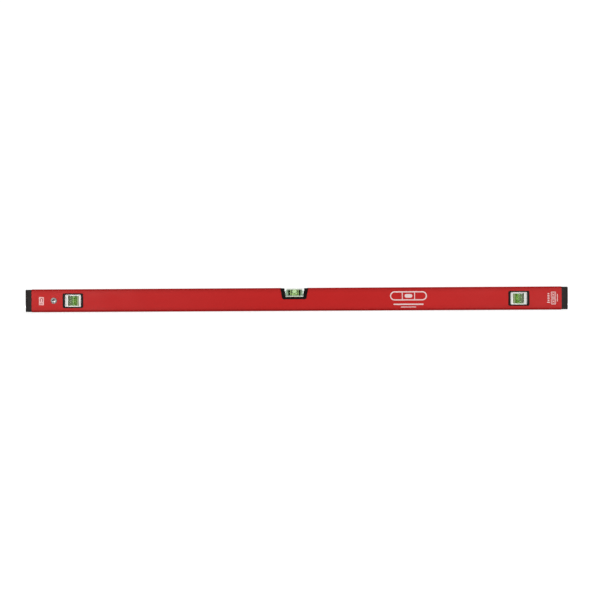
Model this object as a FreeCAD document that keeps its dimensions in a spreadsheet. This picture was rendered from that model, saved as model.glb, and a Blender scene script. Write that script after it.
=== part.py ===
"""A 1.2 m box-section spirit level, with one centre vial, two plumb vials, a hanging eyelet and base magnets.

The level stands on its milled base. X runs along the level, -Y is the front face and +Z is up.
The origin is on the base, under the middle of the level. All sizes are in millimetres.
"""

import FreeCAD
import Part
import Sketcher
import math
import os

SIZES = [
    # The level as a whole.
    ("overall_length", 1200.0),
    ("profile_height", 51.0),
    ("profile_width", 21.0),
    ("cap_length", 14.0),
    # Extruded profile.
    ("side_wall", 1.7),
    ("rail_wall", 3.0),
    ("web_wall", 1.2),
    ("lower_web_height", 17.0),
    ("upper_web_height", 34.0),
    ("bevel_height", 3.6),
    ("bevel_depth", 2.6),
    ("bevel_round", 1.5),
    ("chamber_round", 1.0),
    # End plugs and caps.
    ("plug_flange_width", 17.6),
    ("plug_flange_height", 46.0),
    ("plug_flange_thickness", 3.0),
    ("plug_lug_width", 9.0),
    ("plug_lug_height", 34.0),
    ("plug_lug_thickness", 3.5),
    ("plug_prong_length", 28.0),
    ("plug_prong_wall", 2.0),
    ("plug_clearance", 0.2),
    ("cap_step", 0.7),
    ("cap_corner_round", 3.2),
    ("cap_end_round", 1.5),
    ("cap_groove_from_end", 4.2),
    ("cap_groove_width", 1.0),
    ("cap_groove_depth", 0.6),
    ("cap_dimple_radius", 1.3),
    ("cap_dimple_depth", 1.0),
    ("cap_dimple_from_profile", 6.0),
    ("cap_dimple_height", 8.0),
    # Trim that stands proud of the profile's faces.
    ("trim_proud", 0.9),
    ("trim_edge", 0.35),
    ("half_gap", 0.05),
    # Centre vial, in a notch that is open at the top.
    ("notch_top_width", 57.6),
    ("notch_bottom_width", 49.0),
    ("notch_floor_height", 28.6),
    ("notch_round", 3.0),
    ("cradle_clearance", 0.15),
    ("cradle_top_drop", 0.6),
    ("cradle_flange_top_width", 62.0),
    ("cradle_flange_bottom_width", 52.6),
    ("cradle_flange_floor_height", 25.8),
    ("cradle_flange_round", 4.0),
    ("cradle_opening_top_width", 45.0),
    ("cradle_opening_bottom_width", 39.6),
    ("cradle_opening_floor_height", 31.3),
    ("cradle_opening_round", 1.6),
    ("block_side_gap", 0.2),
    ("block_bottom_height", 32.2),
    ("block_top_height", 49.8),
    ("block_thickness", 16.0),
    ("block_edge", 0.4),
    ("bore_radius", 7.2),
    ("bore_height", 40.7),
    ("bore_half_length", 17.5),
    ("bore_plug_length", 2.0),
    ("wide_ring_offset", 11.6),
    ("wide_ring_width", 3.7),
    ("fine_ring_offset", 6.5),
    ("fine_ring_width", 0.7),
    ("ring_thickness", 0.35),
    ("film_gap", 0.02),
    ("bubble_length", 12.2),
    ("bubble_radius", 3.6),
    ("bubble_rise", 3.1),
    ("bubble_travel", 11.0),
    ("bubble_clearance", 0.2),
    ("bed_length", 36.0),
    ("bed_width", 12.0),
    # Plumb vials, one near each end.
    ("plumb_offset", 493.0),
    ("window_height", 25.3),
    ("window_length", 40.0),
    ("window_depth", 29.2),
    ("window_round", 2.6),
    ("bezel_clearance", 0.1),
    ("bezel_flange_length", 45.8),
    ("bezel_flange_depth", 32.8),
    ("bezel_flange_round", 3.6),
    ("bezel_opening_length", 36.2),
    ("bezel_opening_depth", 27.2),
    ("bezel_opening_round", 2.0),
    ("carrier_clearance", 0.1),
    ("carrier_thickness", 19.6),
    ("carrier_wall", 1.2),
    ("carrier_web", 14.0),
    ("carrier_slot_length", 24.4),
    ("carrier_slot_depth", 23.4),
    ("carrier_slot_round", 0.8),
    ("plumb_block_length", 24.0),
    ("plumb_block_depth", 21.6),
    ("plumb_block_edge_thickness", 12.0),
    ("plumb_block_middle_thickness", 15.6),
    ("plumb_bed_thickness", 0.8),
    ("plumb_bed_length", 20.0),
    ("plumb_bed_width", 8.0),
    ("plumb_bore_radius", 6.0),
    ("plumb_bore_half_length", 8.3),
    ("plumb_plug_length", 2.0),
    ("plumb_ring_offset", 5.8),
    ("plumb_ring_width", 0.8),
    ("plumb_bubble_length", 10.6),
    ("plumb_bubble_radius", 4.1),
    ("plumb_bubble_travel", 2.6),
    # Hanging eyelet.
    ("eyelet_from_middle", 535.9),
    ("eyelet_height", 25.5),
    ("eyelet_hole_radius", 3.6),
    ("eyelet_barrel_wall", 0.7),
    ("eyelet_flange_radius", 7.0),
    ("eyelet_flange_thickness", 1.0),
    ("eyelet_lip_radius", 5.6),
    ("eyelet_lip_thickness", 0.6),
    ("eyelet_edge_round", 0.35),
    ("eyelet_clearance", 0.05),
    ("eyelet_profile_gap", 0.2),
    ("washer_thickness", 0.8),
    ("washer_seat", 0.38),
    # Magnets in the base.
    ("inner_magnet_offset", 190.0),
    ("outer_magnet_offset", 400.0),
    ("magnet_length", 25.0),
    ("magnet_width", 9.6),
    ("magnet_thickness", 6.0),
    ("magnet_round", 1.0),
    ("magnet_recess", 0.15),
    ("magnet_gap", 0.2),
    ("holder_length", 31.0),
    ("holder_height", 8.0),
]


class Size:
    """A number from the sheet, or one worked out from such numbers, with the expression that gives it."""

    def __init__(self, text, value):
        self.text = text
        self.value = value

    def _with(self, other, sign, swapped=False):
        if not isinstance(other, Size):
            other = Size(repr(float(other)), float(other))
        left, right = (other, self) if swapped else (self, other)
        value = {
            "+": left.value + right.value,
            "-": left.value - right.value,
            "*": left.value * right.value,
            "/": left.value / right.value if right.value else math.inf,
        }[sign]
        return Size(f"({left.text} {sign} {right.text})", value)

    def __add__(self, other):
        return self._with(other, "+")

    def __radd__(self, other):
        return self._with(other, "+", swapped=True)

    def __sub__(self, other):
        return self._with(other, "-")

    def __rsub__(self, other):
        return self._with(other, "-", swapped=True)

    def __mul__(self, other):
        return self._with(other, "*")

    def __truediv__(self, other):
        return self._with(other, "/")

    def __neg__(self):
        return self * -1


doc = FreeCAD.newDocument("spirit_level")
sheet = doc.addObject("Spreadsheet::Sheet", "Sizes")


def fill_sheet():
    """Writes each driving size to the sheet, beside its name, under an alias."""
    for row, (name, value) in enumerate(SIZES, start=1):
        sheet.set(f"A{row}", name)
        sheet.set(f"B{row}", str(value))
        sheet.setAlias(f"B{row}", name)
    doc.recompute()


def size(name):
    return Size(f"Sizes.{name}", float(sheet.get(name)))


def plain(value):
    return value.value if isinstance(value, Size) else float(value)


def bind(thing, attribute, value):
    """Sets an object's property from a size, by its expression where it has one."""
    if isinstance(value, Size):
        thing.setExpression(attribute, value.text)
    else:
        setattr(thing, attribute, value)


# Sketches


def new_body(label):
    body = doc.addObject("PartDesign::Body", label)
    body.Label = label
    body.AllowCompound = True
    return body


def new_sketch(body, plane, shift=0.0):
    """A sketch on one of the body's own origin planes, moved along the plane's normal by shift."""
    sketch = body.newObject("Sketcher::SketchObject", f"{body.Name}_sketch")
    support = next(o for o in body.Origin.OriginFeatures if o.Role == plane)
    sketch.AttachmentSupport = [(support, "")]
    sketch.MapMode = "FlatFace"
    if isinstance(shift, Size):
        sketch.setExpression("AttachmentOffset.Base.z", shift.text)
    else:
        sketch.AttachmentOffset = FreeCAD.Placement(
            FreeCAD.Vector(0, 0, shift), FreeCAD.Rotation()
        )
    return sketch


def dimension(sketch, kind, *where):
    """Adds a driving dimension whose last argument is a size, and binds it to the sheet."""
    *place, value = where
    index = sketch.addConstraint(Sketcher.Constraint(kind, *place, plain(value)))
    if isinstance(value, Size):
        sketch.setExpression(f"Constraints[{index}]", value.text)


def fix_point(sketch, geometry, vertex, x, y):
    """Fixes a point of a sketch at x, y from the sketch's origin."""
    for value, kind, axis in ((x, "DistanceX", -2), (y, "DistanceY", -1)):
        if isinstance(value, Size):
            dimension(sketch, kind, -1, 1, geometry, vertex, value)
        else:
            sketch.addConstraint(
                Sketcher.Constraint("PointOnObject", geometry, vertex, axis)
            )


def outline(sketch, corners):
    """Draws a closed outline through corners (x, y, radius), and rounds those with a radius."""
    count = len(corners)
    spots = [FreeCAD.Vector(plain(x), plain(y), 0) for x, y, _ in corners]
    ends = []
    for i, (_, _, radius) in enumerate(corners):
        before = (spots[i - 1] - spots[i]).normalize()
        after = (spots[(i + 1) % count] - spots[i]).normalize()
        half_angle = before.getAngle(after) / 2
        reach = plain(radius) / math.tan(half_angle)
        ends.append((spots[i] + before * reach, spots[i] + after * reach, half_angle))
    lines = [
        sketch.addGeometry(Part.LineSegment(ends[i][1], ends[(i + 1) % count][0]))
        for i in range(count)
    ]
    for i, (x, y, radius) in enumerate(corners):
        arriving, leaving = lines[i - 1], lines[i]
        if not isinstance(radius, Size):
            sketch.addConstraint(
                Sketcher.Constraint("Coincident", arriving, 2, leaving, 1)
            )
            fix_point(sketch, leaving, 1, x, y)
            continue
        entry, leave, half_angle = ends[i]
        middle = (entry + leave) * 0.5 - spots[i]
        centre = spots[i] + middle.normalize() * (plain(radius) / math.sin(half_angle))
        turns_left = (entry - spots[i - 1]).cross(leave - entry).z > 0
        first, last = (entry, leave) if turns_left else (leave, entry)
        angles = [math.atan2((p - centre).y, (p - centre).x) for p in (first, last)]
        circle = Part.Circle(centre, FreeCAD.Vector(0, 0, 1), plain(radius))
        arc = sketch.addGeometry(Part.ArcOfCircle(circle, *angles))
        arc_entry, arc_leave = (1, 2) if turns_left else (2, 1)
        sketch.addConstraint(
            Sketcher.Constraint("Tangent", arriving, 2, arc, arc_entry)
        )
        sketch.addConstraint(Sketcher.Constraint("Tangent", arc, arc_leave, leaving, 1))
        corner = sketch.addGeometry(Part.Point(spots[i]), True)
        sketch.addConstraint(
            Sketcher.Constraint("PointOnObject", corner, 1, arriving)
        )
        sketch.addConstraint(Sketcher.Constraint("PointOnObject", corner, 1, leaving))
        fix_point(sketch, corner, 1, x, y)
        dimension(sketch, "Radius", arc, radius)


def box_outline(sketch, width, height, radius, x=0, y=0):
    """A rectangle round x, y, with rounded corners."""
    left, right = x - width / 2, x + width / 2
    low, high = y - height / 2, y + height / 2
    outline(
        sketch,
        [
            (left, low, radius),
            (right, low, radius),
            (right, high, radius),
            (left, high, radius),
        ],
    )


def tapered_outline(sketch, top_width, bottom_width, top, bottom, radius):
    """A trapezium about the vertical axis, with its two lower corners rounded."""
    outline(
        sketch,
        [
            (-bottom_width / 2, bottom, radius),
            (bottom_width / 2, bottom, radius),
            (top_width / 2, top, 0),
            (-top_width / 2, top, 0),
        ],
    )


def circle(sketch, radius, x=0, y=0):
    disc = sketch.addGeometry(
        Part.Circle(
            FreeCAD.Vector(plain(x), plain(y), 0),
            FreeCAD.Vector(0, 0, 1),
            plain(radius),
        )
    )
    fix_point(sketch, disc, 3, x, y)
    dimension(sketch, "Radius", disc, radius)


# Features


def pad(body, sketch, length, reverse=False, symmetric=False):
    feature = body.newObject("PartDesign::Pad", f"{body.Name}_pad")
    feature.Profile = sketch
    feature.SideType = "Symmetric" if symmetric else "One side"
    feature.Reversed = reverse
    bind(feature, "Length", length)
    return settle(feature)


def pocket(body, sketch, depth=None, reverse=False, symmetric=False):
    """Cuts a sketch out of the body, right through it if depth is None."""
    feature = body.newObject("PartDesign::Pocket", f"{body.Name}_pocket")
    feature.Profile = sketch
    feature.Reversed = reverse
    if depth is None:
        feature.SideType = "Symmetric"
        feature.Type = "ThroughAll"
    else:
        feature.SideType = "Symmetric" if symmetric else "One side"
        bind(feature, "Length", depth)
    before = body.Shape.Volume
    settle(feature)
    if feature.Shape.Volume >= before - 1e-6:
        raise RuntimeError(f"{feature.Name} cuts nothing")
    return feature


def turn(body, sketch, kind="Revolution", axis="H_Axis"):
    """Revolves a sketch a full turn about one of its own axes, to add or, as a Groove, to cut."""
    feature = body.newObject(f"PartDesign::{kind}", f"{body.Name}_{kind.lower()}")
    feature.Profile = sketch
    feature.ReferenceAxis = (sketch, [axis])
    feature.Angle = 360
    return settle(feature)


def mirror(body, originals, plane):
    feature = body.newObject("PartDesign::Mirrored", f"{body.Name}_mirror")
    feature.Originals = originals
    support = next(o for o in body.Origin.OriginFeatures if o.Role == plane)
    feature.MirrorPlane = (support, [""])
    body.Tip = feature
    return settle(feature)


def soften(body, kind, amount, wanted):
    """Fillets or chamfers the edges of the body's last feature for which wanted(edge) is true."""
    base = body.Tip
    edges = [f"Edge{i}" for i, e in enumerate(base.Shape.Edges, start=1) if wanted(e)]
    if not edges:
        raise RuntimeError(f"{body.Label} has no edge to soften")
    feature = body.newObject(f"PartDesign::{kind}", f"{body.Name}_{kind.lower()}")
    feature.Base = (base, edges)
    bind(feature, "Radius" if kind == "Fillet" else "Size", amount)
    return settle(feature)


def settle(feature):
    """Recomputes the document, and stops if the feature failed."""
    doc.recompute()
    if "Invalid" in feature.State or "Error" in feature.State:
        raise RuntimeError(f"{feature.Name} failed: {feature.getStatusString()}")
    return feature


def on_plane(axis, value):
    """A test for edges that lie wholly at one value of X, Y or Z."""

    def test(edge):
        low = (edge.BoundBox.XMin, edge.BoundBox.YMin, edge.BoundBox.ZMin)[axis]
        high = (edge.BoundBox.XMax, edge.BoundBox.YMax, edge.BoundBox.ZMax)[axis]
        return abs(low - value) < 1e-3 and abs(high - value) < 1e-3

    return test


def place(body, x=0, y=0, z=0, half_turn=False):
    """Places a body at x, y, z, after half a turn about Z if asked."""
    angle = 180 if half_turn else 0
    body.Placement = FreeCAD.Placement(
        FreeCAD.Vector(plain(x), plain(y), plain(z)),
        FreeCAD.Rotation(FreeCAD.Vector(0, 0, 1), angle),
    )
    for letter, value in (("x", x), ("y", y), ("z", z)):
        if isinstance(value, Size):
            body.setExpression(f".Placement.Base.{letter}", value.text)


# Extruded profile


def chambers():
    """The lower and upper limit of each of the profile's three hollow chambers."""
    half_web = size("web_wall") / 2
    lower, upper = size("lower_web_height"), size("upper_web_height")
    return [
        (size("rail_wall"), lower - half_web),
        (lower + half_web, upper - half_web),
        (upper + half_web, size("profile_height") - size("rail_wall")),
    ]


def magnet_places():
    inner, outer = size("inner_magnet_offset"), size("outer_magnet_offset")
    return [-outer, -inner, inner, outer]


def profile_section(sketch):
    """The outside of the extrusion: a box whose four long edges are bevelled towards the rails."""
    half, height = size("profile_width") / 2, size("profile_height")
    rail = half - size("bevel_depth")
    bevel = size("bevel_height")
    radius = size("bevel_round")
    outline(
        sketch,
        [
            (-rail, 0, 0),
            (rail, 0, 0),
            (half, bevel, radius),
            (half, height - bevel, radius),
            (rail, height, 0),
            (-rail, height, 0),
            (-half, height - bevel, radius),
            (-half, bevel, radius),
        ],
    )


def make_profile():
    body = new_body("profile")
    section = new_sketch(body, "YZ_Plane")
    profile_section(section)
    length = size("overall_length") - size("cap_length") * 2
    pad(body, section, length, symmetric=True)

    hollow = new_sketch(body, "YZ_Plane")
    width = size("profile_width") - size("side_wall") * 2
    for low, high in chambers():
        middle = (low + high) / 2
        box_outline(hollow, width, high - low, size("chamber_round"), 0, middle)
    pocket(body, hollow)

    notch = new_sketch(body, "XZ_Plane")
    tapered_outline(
        notch,
        size("notch_top_width"),
        size("notch_bottom_width"),
        size("profile_height"),
        size("notch_floor_height"),
        size("notch_round"),
    )
    pocket(body, notch)

    windows = new_sketch(body, "XZ_Plane")
    for offset in (-size("plumb_offset"), size("plumb_offset")):
        box_outline(
            windows,
            size("window_length"),
            size("window_depth"),
            size("window_round"),
            offset,
            size("window_height"),
        )
    barrel = size("eyelet_hole_radius") + size("eyelet_barrel_wall")
    circle(
        windows,
        barrel + size("eyelet_profile_gap"),
        -size("eyelet_from_middle"),
        size("eyelet_height"),
    )
    pocket(body, windows)

    slots = new_sketch(body, "XY_Plane")
    gap = size("magnet_gap") * 2
    for x in magnet_places():
        box_outline(
            slots,
            size("magnet_length") + gap,
            size("magnet_width") + gap,
            size("magnet_round"),
            x,
        )
    pocket(body, slots, size("rail_wall") + size("web_wall"), reverse=True)


# Ends


def make_end_plug(label, side):
    """A hard plug: an end flange, a lug that holds the cap, and a hollow prong for each chamber."""
    body = new_body(label)
    middle = size("profile_height") / 2
    flange = new_sketch(body, "YZ_Plane")
    box_outline(
        flange,
        size("plug_flange_width"),
        size("plug_flange_height"),
        size("chamber_round"),
        0,
        middle,
    )
    pad(body, flange, size("plug_flange_thickness"))

    lug = new_sketch(body, "YZ_Plane")
    box_outline(
        lug,
        size("plug_lug_width"),
        size("plug_lug_height"),
        size("chamber_round"),
        0,
        middle,
    )
    pad(body, lug, size("plug_flange_thickness") + size("plug_lug_thickness"))

    clearance = size("plug_clearance")
    wall = size("plug_prong_wall")
    width = size("profile_width") - size("side_wall") * 2 - clearance * 2
    prongs = new_sketch(body, "YZ_Plane")
    hollows = new_sketch(body, "YZ_Plane", size("plug_prong_length") * -1)
    for low, high in chambers():
        middle = (low + high) / 2
        depth = high - low - clearance * 2
        box_outline(prongs, width, depth, size("chamber_round"), 0, middle)
        inner_round = size("chamber_round") / 2
        box_outline(
            hollows, width - wall * 2, depth - wall * 2, inner_round, 0, middle
        )
    pad(body, prongs, size("plug_prong_length"), reverse=True)
    pocket(body, hollows, size("plug_prong_length") - wall, reverse=True)
    place_at_end(body, side)


def make_end_cap(label, side):
    """A soft cap over the plug's flange, with a grip groove and a pry dimple on each face."""
    body = new_body(label)
    width = size("profile_width") - size("cap_step")
    height = size("profile_height") - size("cap_step") * 2
    middle = size("profile_height") / 2
    shell = new_sketch(body, "YZ_Plane")
    box_outline(shell, width, height, size("cap_corner_round"), 0, middle)
    pad(body, shell, size("cap_length"))
    end = plain(size("cap_length"))
    soften(body, "Fillet", size("cap_end_round"), on_plane(0, end))

    seat = new_sketch(body, "YZ_Plane")
    box_outline(
        seat,
        size("plug_flange_width"),
        size("plug_flange_height"),
        size("chamber_round"),
        0,
        middle,
    )
    pocket(body, seat, size("plug_flange_thickness"), reverse=True)
    socket = new_sketch(body, "YZ_Plane")
    box_outline(
        socket,
        size("plug_lug_width"),
        size("plug_lug_height"),
        size("chamber_round"),
        0,
        middle,
    )
    depth = size("plug_flange_thickness") + size("plug_lug_thickness")
    pocket(body, socket, depth, reverse=True)

    groove = new_sketch(
        body, "YZ_Plane", size("cap_length") - size("cap_groove_from_end")
    )
    cut = size("cap_groove_depth") * 2
    box_outline(groove, width + cut, height + cut, size("cap_corner_round"), 0, middle)
    box_outline(
        groove,
        width - cut,
        height - cut,
        size("cap_corner_round") - size("cap_groove_depth"),
        0,
        middle,
    )
    pocket(body, groove, size("cap_groove_width"), reverse=True)

    dimple = new_sketch(body, "XZ_Plane", width / 2 - size("cap_dimple_depth"))
    circle(
        dimple,
        size("cap_dimple_radius"),
        size("cap_dimple_from_profile"),
        size("cap_dimple_height"),
    )
    cut_dimple = pocket(body, dimple, size("cap_dimple_depth"), reverse=True)
    mirror(body, [cut_dimple], "XZ_Plane")
    place_at_end(body, side)


def place_at_end(body, side):
    """Moves a part made at the right-hand end of the profile to the end that side names, -1 or 1."""
    reach = size("overall_length") / 2 - size("cap_length")
    place(body, x=reach * side, half_turn=side < 0)


# Centre vial


def make_cradle(label, rear):
    """Half of the housing that clips into the notch, with a flange over the profile's face."""
    body = new_body(label)
    face = size("profile_width") / 2
    top = size("profile_height") - size("cradle_top_drop")
    flange = new_sketch(body, "XZ_Plane", face)
    tapered_outline(
        flange,
        size("cradle_flange_top_width"),
        size("cradle_flange_bottom_width"),
        top,
        size("cradle_flange_floor_height"),
        size("cradle_flange_round"),
    )
    pad(body, flange, size("trim_proud"))
    front = -plain(face + size("trim_proud"))
    soften(body, "Chamfer", size("trim_edge"), on_plane(1, front))

    clearance = size("cradle_clearance")
    sleeve = new_sketch(body, "XZ_Plane", face)
    tapered_outline(
        sleeve,
        size("notch_top_width") - clearance * 2,
        size("notch_bottom_width") - clearance * 2,
        top,
        size("notch_floor_height") + clearance,
        size("notch_round"),
    )
    pad(body, sleeve, face - size("half_gap"), reverse=True)

    opening = new_sketch(body, "XZ_Plane")
    tapered_outline(
        opening,
        size("cradle_opening_top_width"),
        size("cradle_opening_bottom_width"),
        size("profile_height"),
        size("cradle_opening_floor_height"),
        size("cradle_opening_round"),
    )
    pocket(body, opening)
    place(body, half_turn=rear)


def make_vial_block():
    """The clear block of the centre vial, bored from end to end."""
    body = new_body("centre_vial_block")
    gap = size("block_side_gap") * 2
    shape = new_sketch(body, "XZ_Plane")
    tapered_outline(
        shape,
        size("cradle_opening_top_width") - gap,
        size("cradle_opening_bottom_width") - gap,
        size("block_top_height"),
        size("block_bottom_height"),
        size("cradle_opening_round"),
    )
    pad(body, shape, size("block_thickness"), symmetric=True)
    front = plain(size("block_thickness")) / 2
    soften(
        body,
        "Chamfer",
        size("block_edge"),
        lambda edge: on_plane(1, -front)(edge) or on_plane(1, front)(edge),
    )
    bore = new_sketch(body, "YZ_Plane")
    circle(bore, size("bore_radius"), 0, size("bore_height"))
    pocket(body, bore)


def ring_sketch(body, plane, start, radius, middle):
    """A thin ring against the wall of a bore, drawn at start along the bore."""
    sketch = new_sketch(body, plane, start)
    circle(sketch, radius, 0, middle)
    circle(sketch, radius - size("ring_thickness"), 0, middle)
    return sketch


def ring_places(names):
    """Where each graduation ring starts along its bore, and how wide it is."""
    return [
        (size(f"{name}_offset") - size(f"{name}_width") / 2, size(f"{name}_width"))
        for name in names
    ]


def make_rings(label, names, plane, mirror_plane, radius, middle):
    body = new_body(label)
    rings = [
        pad(body, ring_sketch(body, plane, start, radius, middle), width)
        for start, width in ring_places(names)
    ]
    mirror(body, rings, mirror_plane)
    return body


def capsule(sketch, length, radius):
    """Half the outline of a round-ended bubble, on the sketch's horizontal axis."""
    half = length / 2
    straight = plain(half - radius)
    r = plain(radius)
    up = FreeCAD.Vector(0, 0, 1)
    left = sketch.addGeometry(
        Part.ArcOfCircle(
            Part.Circle(FreeCAD.Vector(-straight, 0, 0), up, r), math.pi / 2, math.pi
        )
    )
    top = sketch.addGeometry(
        Part.LineSegment(FreeCAD.Vector(-straight, r, 0), FreeCAD.Vector(straight, r, 0))
    )
    right = sketch.addGeometry(
        Part.ArcOfCircle(
            Part.Circle(FreeCAD.Vector(straight, 0, 0), up, r), 0, math.pi / 2
        )
    )
    base = sketch.addGeometry(
        Part.LineSegment(
            FreeCAD.Vector(-straight - r, 0, 0), FreeCAD.Vector(straight + r, 0, 0)
        )
    )
    for constraint in (
        ("Tangent", left, 1, top, 1),
        ("Tangent", top, 2, right, 2),
        ("Coincident", left, 2, base, 1),
        ("Coincident", right, 1, base, 2),
        ("PointOnObject", left, 3, -1),
        ("PointOnObject", base, 1, -1),
        ("PointOnObject", base, 2, -1),
        ("Symmetric", left, 3, right, 3, -2),
    ):
        sketch.addConstraint(Sketcher.Constraint(*constraint))
    dimension(sketch, "Radius", left, radius)
    dimension(sketch, "DistanceX", base, 1, base, 2, length)


def make_bubble(label, length, radius, upright=False):
    """A bubble about the middle of its bore, along X or, if upright, along Z."""
    body = new_body(label)
    sketch = new_sketch(body, "XZ_Plane")
    if upright:
        stand_up(sketch)
    capsule(sketch, length, radius)
    turn(body, sketch)
    return body


def stand_up(sketch):
    """Turns a sketch on the XZ plane so that its horizontal axis points along Z."""
    sketch.AttachmentOffset = FreeCAD.Placement(
        FreeCAD.Vector(0, 0, 0), FreeCAD.Rotation(FreeCAD.Vector(0, 0, 1), 90)
    )


def channel_length(length, travel):
    """How long the space is that a bubble sweeps, with its clearance at both ends."""
    return length + travel * 2 + size("bubble_clearance") * 2


def make_centre_vial():
    make_vial_block()
    bore = size("bore_radius") - size("film_gap")
    middle = size("bore_height")
    names = ["wide_ring", "fine_ring"]
    make_rings("centre_vial_rings", names, "YZ_Plane", "YZ_Plane", bore, middle)

    plugs = new_body("centre_vial_plugs")
    plug = new_sketch(plugs, "YZ_Plane", size("bore_half_length"))
    circle(plug, bore, 0, middle)
    first = pad(plugs, plug, size("bore_plug_length"))
    mirror(plugs, [first], "YZ_Plane")

    liquid = new_body("centre_vial_liquid")
    column = new_sketch(liquid, "YZ_Plane")
    circle(column, bore)
    pad(liquid, column, size("bore_half_length") * 2, symmetric=True)
    cuts = [
        pocket(
            liquid,
            ring_sketch(liquid, "YZ_Plane", start, bore, 0),
            width,
            reverse=True,
        )
        for start, width in ring_places(names)
    ]
    mirror(liquid, cuts, "YZ_Plane")
    channel = new_sketch(liquid, "XZ_Plane")
    lift(channel, size("bubble_rise"))
    clearance = size("bubble_clearance")
    capsule(
        channel,
        channel_length(size("bubble_length"), size("bubble_travel")),
        size("bubble_radius") + clearance,
    )
    turn(liquid, channel, "Groove")
    place(liquid, z=middle)

    bubble = make_bubble(
        "centre_vial_bubble", size("bubble_length"), size("bubble_radius")
    )
    place(bubble, z=middle + size("bubble_rise"))

    bed = new_body("centre_vial_resin_bed")
    pour = new_sketch(bed, "XY_Plane", size("cradle_opening_floor_height"))
    box_outline(pour, size("bed_length"), size("bed_width"), size("chamber_round"))
    thickness = size("block_bottom_height") - size("cradle_opening_floor_height")
    pad(bed, pour, thickness)


def lift(sketch, height):
    """Raises a sketch on the XZ plane by height."""
    sketch.setExpression("AttachmentOffset.Base.y", height.text)


# Plumb vials, each made round its own middle and then moved to its window


def plumb_spot(body, side, half_turn=False):
    place(
        body,
        x=size("plumb_offset") * side,
        z=size("window_height"),
        half_turn=half_turn,
    )


def make_bezel(label, side, rear):
    """Half of the black frame in a window, with a flange over the profile's face."""
    body = new_body(label)
    face = size("profile_width") / 2
    flange = new_sketch(body, "XZ_Plane", face)
    box_outline(
        flange,
        size("bezel_flange_length"),
        size("bezel_flange_depth"),
        size("bezel_flange_round"),
    )
    pad(body, flange, size("trim_proud"))
    front = -plain(face + size("trim_proud"))
    soften(body, "Chamfer", size("trim_edge"), on_plane(1, front))

    clearance = size("bezel_clearance") * 2
    sleeve = new_sketch(body, "XZ_Plane", face)
    box_outline(
        sleeve,
        size("window_length") - clearance,
        size("window_depth") - clearance,
        size("window_round"),
    )
    pad(body, sleeve, face - size("half_gap"), reverse=True)
    opening = new_sketch(body, "XZ_Plane")
    box_outline(
        opening,
        size("bezel_opening_length"),
        size("bezel_opening_depth"),
        size("bezel_opening_round"),
    )
    pocket(body, opening)
    plumb_spot(body, side, half_turn=rear)


def make_carrier(label, side):
    """The white liner of a window, whose middle web holds the vial block."""
    body = new_body(label)
    clearance = size("carrier_clearance") * 2
    length = size("bezel_opening_length") - clearance
    depth = size("bezel_opening_depth") - clearance
    shell = new_sketch(body, "XZ_Plane")
    box_outline(shell, length, depth, size("bezel_opening_round"))
    pad(body, shell, size("carrier_thickness"), symmetric=True)

    wall = size("carrier_wall")
    recess = new_sketch(body, "XZ_Plane", size("carrier_web") / 2)
    box_outline(
        recess,
        length - wall * 2,
        depth - wall * 2,
        size("bezel_opening_round") - wall,
    )
    front = pocket(body, recess, size("carrier_thickness") / 2, reverse=True)
    mirror(body, [front], "XZ_Plane")
    slot = new_sketch(body, "XZ_Plane")
    box_outline(
        slot,
        size("carrier_slot_length"),
        size("carrier_slot_depth"),
        size("carrier_slot_round"),
    )
    pocket(body, slot)
    plumb_spot(body, side)


def lens_outline(sketch, length, edge, middle):
    """The block's plan: two straight sides joined by two arcs that bulge to the front and the rear."""
    half, low, high = length / 2, edge / 2, middle / 2
    points = [
        FreeCAD.Vector(plain(x), plain(y), 0)
        for x, y in (
            (-half, low),
            (-half, -low),
            (half * 0, -high),
            (half, -low),
            (half, low),
            (half * 0, high),
        )
    ]
    upper_left, lower_left, bottom, lower_right, upper_right, top = points
    left = sketch.addGeometry(Part.LineSegment(upper_left, lower_left))
    front = sketch.addGeometry(Part.Arc(lower_left, bottom, lower_right))
    right = sketch.addGeometry(Part.LineSegment(lower_right, upper_right))
    back = sketch.addGeometry(Part.Arc(upper_right, top, upper_left))
    for constraint in (
        ("Coincident", left, 2, front, 1),
        ("Coincident", front, 2, right, 1),
        ("Coincident", right, 2, back, 1),
        ("Coincident", back, 2, left, 1),
    ):
        sketch.addConstraint(Sketcher.Constraint(*constraint))
    fix_point(sketch, left, 1, -half, low)
    fix_point(sketch, left, 2, -half, -low)
    fix_point(sketch, right, 1, half, -low)
    fix_point(sketch, right, 2, half, low)
    rise = high - low
    radius = (half * half + rise * rise) / (rise * 2)
    dimension(sketch, "Radius", front, radius)
    dimension(sketch, "Radius", back, radius)


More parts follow.
